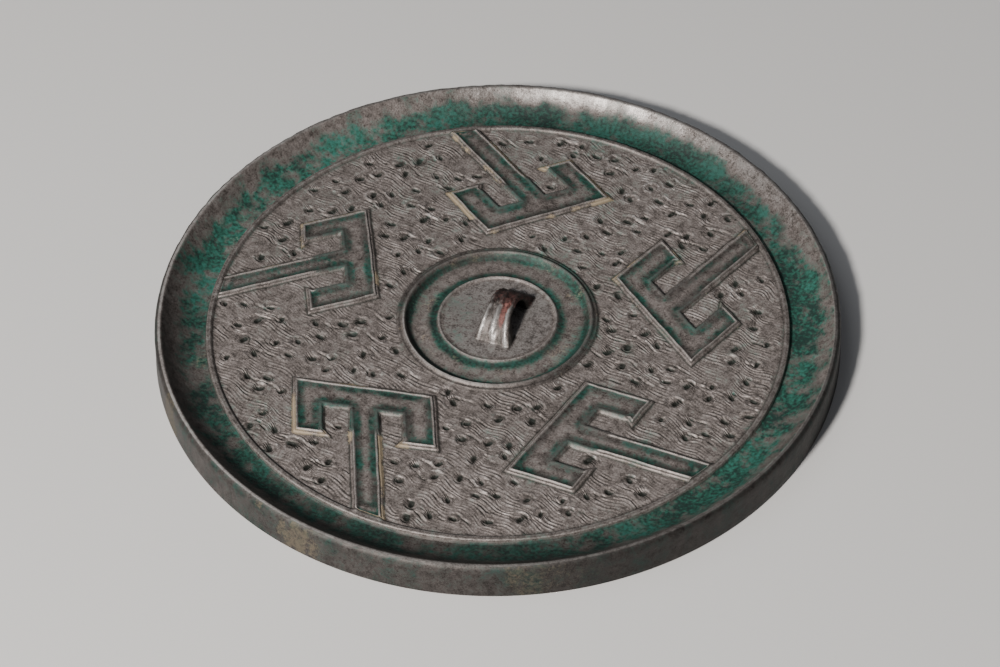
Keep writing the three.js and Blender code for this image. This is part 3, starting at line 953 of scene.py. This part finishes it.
def finish_weights(points, zone, relief, edge):
    """Each finish at every point. The underside, which has none, is left as plain bronze."""
    weights = {name: np.zeros(len(points)) for name in ("green", "tan", "silver", "rust")}
    weights.update(relief=relief, shade=np.ones(len(points)))
    for number, finish in FINISHES.items():
        on = zone == number
        for name, values in finish(Spots(points[on], relief[on], edge[on])).items():
            weights[name][on] = values
    return weights


# Material

class Nodes:
    """Adds and links the nodes of one material."""

    def __init__(self, name):
        self.material = bpy.data.materials.new(name)
        self.material.use_nodes = True
        self.tree = self.material.node_tree
        self.shader = self.tree.nodes["Principled BSDF"]

    def add(self, kind, **settings):
        node = self.tree.nodes.new(kind)
        for key, value in settings.items():
            setattr(node, key, value)
        return node

    def link(self, value, socket):
        if hasattr(value, "is_linked"):
            self.tree.links.new(value, socket)
        else:
            socket.default_value = value

    def attribute(self, name):
        return self.add("ShaderNodeAttribute", attribute_name=name).outputs["Fac"]

    def maths(self, operation, *values, clamp=False):
        node = self.add("ShaderNodeMath", operation=operation, use_clamp=clamp)
        for value, socket in zip(values, node.inputs):
            self.link(value, socket)
        return node.outputs[0]

    def scaled(self, vector, scale):
        node = self.add("ShaderNodeVectorMath", operation="SCALE")
        self.link(vector, node.inputs[0])
        self.link(scale, node.inputs["Scale"])
        return node.outputs[0]

    def vary(self, noise, amount, middle):
        """A value raised and lowered by noise, whose own middle is a half."""
        return self.maths("MULTIPLY_ADD", self.maths("SUBTRACT", noise, 0.5), amount, middle)

    def noise(self, vector, scale, detail, roughness):
        node = self.add("ShaderNodeTexNoise")
        self.link(vector, node.inputs["Vector"])
        for key, value in (("Scale", scale), ("Detail", detail), ("Roughness", roughness)):
            node.inputs[key].default_value = value
        return node.outputs["Fac"]

    def ramp(self, value, stops):
        node = self.add("ShaderNodeValToRGB")
        self.link(value, node.inputs["Fac"])
        elements = node.color_ramp.elements
        while len(elements) < len(stops):
            elements.new(0.5)
        for element, (place, colour) in zip(elements, stops):
            element.position = place
            element.color = (*colour, 1.0)
        return node.outputs["Color"]

    def mask(self, value, low, high):
        node = self.add("ShaderNodeMapRange", interpolation_type="SMOOTHSTEP")
        for key, item in (("Value", value), ("From Min", low), ("From Max", high)):
            self.link(item, node.inputs[key])
        return node.outputs["Result"]

    def mix(self, factor, first, second):
        """Mixes two colours."""
        node = self.add("ShaderNodeMix", data_type="RGBA")
        self.link(factor, node.inputs["Factor"])
        for value, name in ((first, "A"), (second, "B")):
            colour = (*value, 1.0) if isinstance(value, tuple) else value
            self.link(colour, colour_socket(node.inputs, name))
        return colour_socket(node.outputs, "Result")

    def blend(self, factor, first, second):
        """Mixes two numbers."""
        difference = self.maths("SUBTRACT", second, first)
        return self.maths("MULTIPLY_ADD", difference, factor, first)


def colour_socket(sockets, name):
    """The colour socket of a name. A mix node has one socket of each name for every kind of value."""
    return [item for item in sockets if item.name == name and item.type == "RGBA"][0]


# Colours, linear
BRONZE_DARK = (0.062, 0.052, 0.046)
BRONZE_MIDDLE = (0.2, 0.171, 0.158)
BRONZE_LIGHT = (0.36, 0.314, 0.298)
GREEN_DEEP = (0.007, 0.024, 0.019)
GREEN_MIDDLE = (0.014, 0.071, 0.05)
GREEN_TEAL = (0.022, 0.115, 0.09)
TAN_DUST = (0.31, 0.24, 0.155)
SILVER_GREY = (0.52, 0.49, 0.47)
RUST_DARK = (0.055, 0.02, 0.014)
RUST_RED = (0.36, 0.15, 0.13)
PIT_PATINA_AND_SHADE = (0.022, 0.026, 0.02)
METAL_SHARE = 0.62
METAL_LOST = -0.5  # where green, tan or rust lies
BUMP_STRENGTH = 0.55
BUMP_HEIGHT = 0.12


def aged_bronze_with_painted_light():
    """Mottled bronze, and over it the finishes, by the mesh's attributes broken up by noise, scaled by a
    tone factor that holds painted light and shade.
    """
    nodes = Nodes("aged_bronze_with_painted_light")
    place = nodes.scaled(nodes.add("ShaderNodeTexCoord").outputs["Object"], 1 / MM)
    grain = nodes.noise(place, 2.6, 6.0, 0.7)
    mottle = nodes.noise(place, 0.6, 5.0, 0.66)
    cloud = nodes.noise(place, 0.075, 3.0, 0.55)
    speck = nodes.noise(place, 1.25, 3.0, 0.5)

    def spread(name, low, high, amount, by=mottle):
        """Where a finish shows: its weight at the point, broken up by noise."""
        broken = nodes.vary(by, amount, nodes.attribute(name))
        return nodes.mask(nodes.vary(grain, 0.9, broken), low, high)

    tone = nodes.vary(grain, 1.0, mottle)
    colour = nodes.ramp(tone, [(0.25, BRONZE_DARK), (0.5, BRONZE_MIDDLE), (0.78, BRONZE_LIGHT)])
    green = nodes.ramp(nodes.vary(speck, 1.3, cloud), [
        (0.3, GREEN_DEEP), (0.52, GREEN_MIDDLE), (0.75, GREEN_TEAL)])
    green_share = spread("green", 0.22, 0.94, 1.6)
    tan_share = spread("tan", 0.3, 0.7, 0.7, speck)
    silver_share = spread("silver", 0.25, 0.85, 0.6)
    rust_share = spread("rust", 0.25, 0.7, 0.5, speck)
    relief = nodes.attribute("relief")
    pit_patina_and_shade = nodes.mask(relief, -0.1, -1.1)
    crest_share = nodes.mask(relief, 0.1, 1.0)

    colour = nodes.mix(nodes.maths("MULTIPLY", silver_share, 0.8), colour, SILVER_GREY)
    colour = nodes.mix(green_share, colour, green)
    # Hollows go dark: dark patina in them, with painted shade in the recesses on top.
    colour = nodes.mix(nodes.maths("MULTIPLY", pit_patina_and_shade, 0.88), colour, PIT_PATINA_AND_SHADE)
    colour = nodes.mix(nodes.maths("MULTIPLY", crest_share, 0.22), colour, SILVER_GREY)
    colour = nodes.mix(nodes.maths("MULTIPLY", tan_share, 0.8), colour, TAN_DUST)
    rust_tone = nodes.blend(0.6, nodes.maths("MULTIPLY_ADD", relief, -0.25, speck), grain)
    rust = nodes.ramp(rust_tone, [(0.36, RUST_DARK), (0.66, RUST_RED)])
    colour = nodes.mix(rust_share, colour, rust)
    # Each zone's tone factor: partly its own tone, partly painted light and shade.
    colour = nodes.scaled(colour, nodes.attribute("shade"))
    nodes.link(colour, nodes.shader.inputs["Base Color"])

    dull = nodes.maths("MAXIMUM", green_share, nodes.maths("MAXIMUM", tan_share, rust_share))
    metal = nodes.maths("MULTIPLY_ADD", dull, METAL_LOST, METAL_SHARE, clamp=True)
    nodes.link(metal, nodes.shader.inputs["Metallic"])
    rough = nodes.blend(silver_share, nodes.maths("MULTIPLY_ADD", grain, 0.35, 0.36), 0.36)
    rough = nodes.blend(nodes.maths("MULTIPLY", dull, 0.6), rough, 0.72)
    nodes.link(rough, nodes.shader.inputs["Roughness"])

    bump = nodes.add("ShaderNodeBump")
    bump.inputs["Strength"].default_value = BUMP_STRENGTH
    bump.inputs["Distance"].default_value = BUMP_HEIGHT * MM
    height = nodes.maths("MULTIPLY_ADD", speck, 0.8, grain)
    nodes.link(height, bump.inputs["Height"])
    nodes.link(bump.outputs["Normal"], nodes.shader.inputs["Normal"])
    return nodes.material


def add_object(name, data):
    thing = bpy.data.objects.new(name, data)
    bpy.context.scene.collection.objects.link(thing)
    return thing


def make_mirror():
    """The mesh of the whole casting, with its finish weights as attributes."""
    build_surface()
    points = np.concatenate(surface.points)
    zone, relief, edge = (np.concatenate(item) for item in (surface.zone, surface.relief, surface.edge))
    used, faces = np.unique(np.array(surface.faces), return_inverse=True)
    points, zone, relief, edge = points[used], zone[used], relief[used], edge[used]
    mesh = bpy.data.meshes.new("mirror_casting")
    mesh.from_pydata((points * MM).tolist(), [], faces.reshape(-1, 3).tolist())
    mesh.shade_smooth()
    for name, values in finish_weights(points, zone, relief, edge).items():
        layer = mesh.attributes.new(name, "FLOAT", "POINT")
        layer.data.foreach_set("value", values.astype(np.float32))
    mesh.materials.append(aged_bronze_with_painted_light())
    return add_object("mirror_casting", mesh)


# Camera, light and floor, in metres

CAMERA_AZIMUTH = math.radians(23.4)
CAMERA_ELEVATION = math.radians(45.47)
CAMERA_ROLL = math.radians(-1.07)
CAMERA_DISTANCE = 0.5814
CAMERA_TARGET = Vector((0.00087, -0.00081, 0.0))
CAMERA_LENS = 93.6
NEAREST_SEEN = 0.01
KEY_DIRECTION = Vector((-0.159, -0.769, 0.618)).normalized()
KEY_COLOUR = (1.0, 0.97, 0.93)
FILL_AZIMUTH = math.radians(-75)
FILL_ELEVATION = math.radians(60)
FILL_COLOUR = (0.92, 0.96, 1.0)
WORLD_COLOUR = (0.9, 0.93, 1.0)
WORLD_STRENGTH = 0.12
FLOOR_HALF = 1.5
FLOOR_COLOUR = (0.62, 0.61, 0.6)
FLOOR_ROUGHNESS = 0.9


def look_along(azimuth, elevation):
    """Unit vector from the target back to a viewer at an azimuth and an elevation."""
    flat = math.cos(elevation)
    return Vector((math.sin(azimuth) * flat, -math.cos(azimuth) * flat, math.sin(elevation)))


def add_camera():
    back = look_along(CAMERA_AZIMUTH, CAMERA_ELEVATION)
    right = Vector((math.cos(CAMERA_AZIMUTH), math.sin(CAMERA_AZIMUTH), 0.0))
    up = back.cross(right)
    c, s = math.cos(CAMERA_ROLL), math.sin(CAMERA_ROLL)
    right, up = c * right + s * up, c * up - s * right
    data = bpy.data.cameras.new("camera")
    data.lens = CAMERA_LENS
    data.clip_start = NEAREST_SEEN
    camera = add_object("camera", data)
    turn = Matrix((right, up, back)).transposed().to_4x4()
    camera.matrix_world = Matrix.Translation(CAMERA_TARGET + back * CAMERA_DISTANCE) @ turn
    bpy.context.scene.camera = camera


def add_area_light(name, direction, distance, size, power, colour):
    data = bpy.data.lights.new(name, "AREA")
    data.shape = "DISK"
    data.size = size
    data.energy = power
    data.color = colour
    turn = direction.to_track_quat("Z", "Y").to_matrix().to_4x4()
    add_object(name, data).matrix_world = Matrix.Translation(direction * distance) @ turn


def add_surroundings():
    world = bpy.data.worlds.new("studio")
    world.use_nodes = True
    background = world.node_tree.nodes["Background"]
    background.inputs["Color"].default_value = (*WORLD_COLOUR, 1.0)
    background.inputs["Strength"].default_value = WORLD_STRENGTH
    bpy.context.scene.world = world
    fill_direction = look_along(FILL_AZIMUTH, FILL_ELEVATION)
    add_area_light("key", KEY_DIRECTION, distance=1.1, size=0.14, power=21.0, colour=KEY_COLOUR)
    add_area_light("fill", fill_direction, distance=1.2, size=0.9, power=2.0, colour=FILL_COLOUR)
    mesh = bpy.data.meshes.new("floor")
    corners = [(x * FLOOR_HALF, y * FLOOR_HALF, 0) for x, y in ((-1, -1), (1, -1), (1, 1), (-1, 1))]
    mesh.from_pydata(corners, [], [(0, 1, 2, 3)])
    nodes = Nodes("pale_floor")
    nodes.shader.inputs["Base Color"].default_value = (*FLOOR_COLOUR, 1.0)
    nodes.shader.inputs["Roughness"].default_value = FLOOR_ROUGHNESS
    mesh.materials.append(nodes.material)
    add_object("floor", mesh)


# The corners of each motif's outline, and how many points each of its edges has
outlines = []
for place in MOTIF_PLACES:
    corners = motif_corners(place)
    lengths = np.linalg.norm(np.roll(corners, -1, 0) - corners, axis=1)
    outlines.append((corners, np.maximum(2, np.round(lengths / OUTLINE_STEP)).astype(int)))

surface = Surface()
curls = curl_places()
mirror = make_mirror()
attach(mirror, "root")
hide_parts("mirror")
add_camera()
add_surroundings()
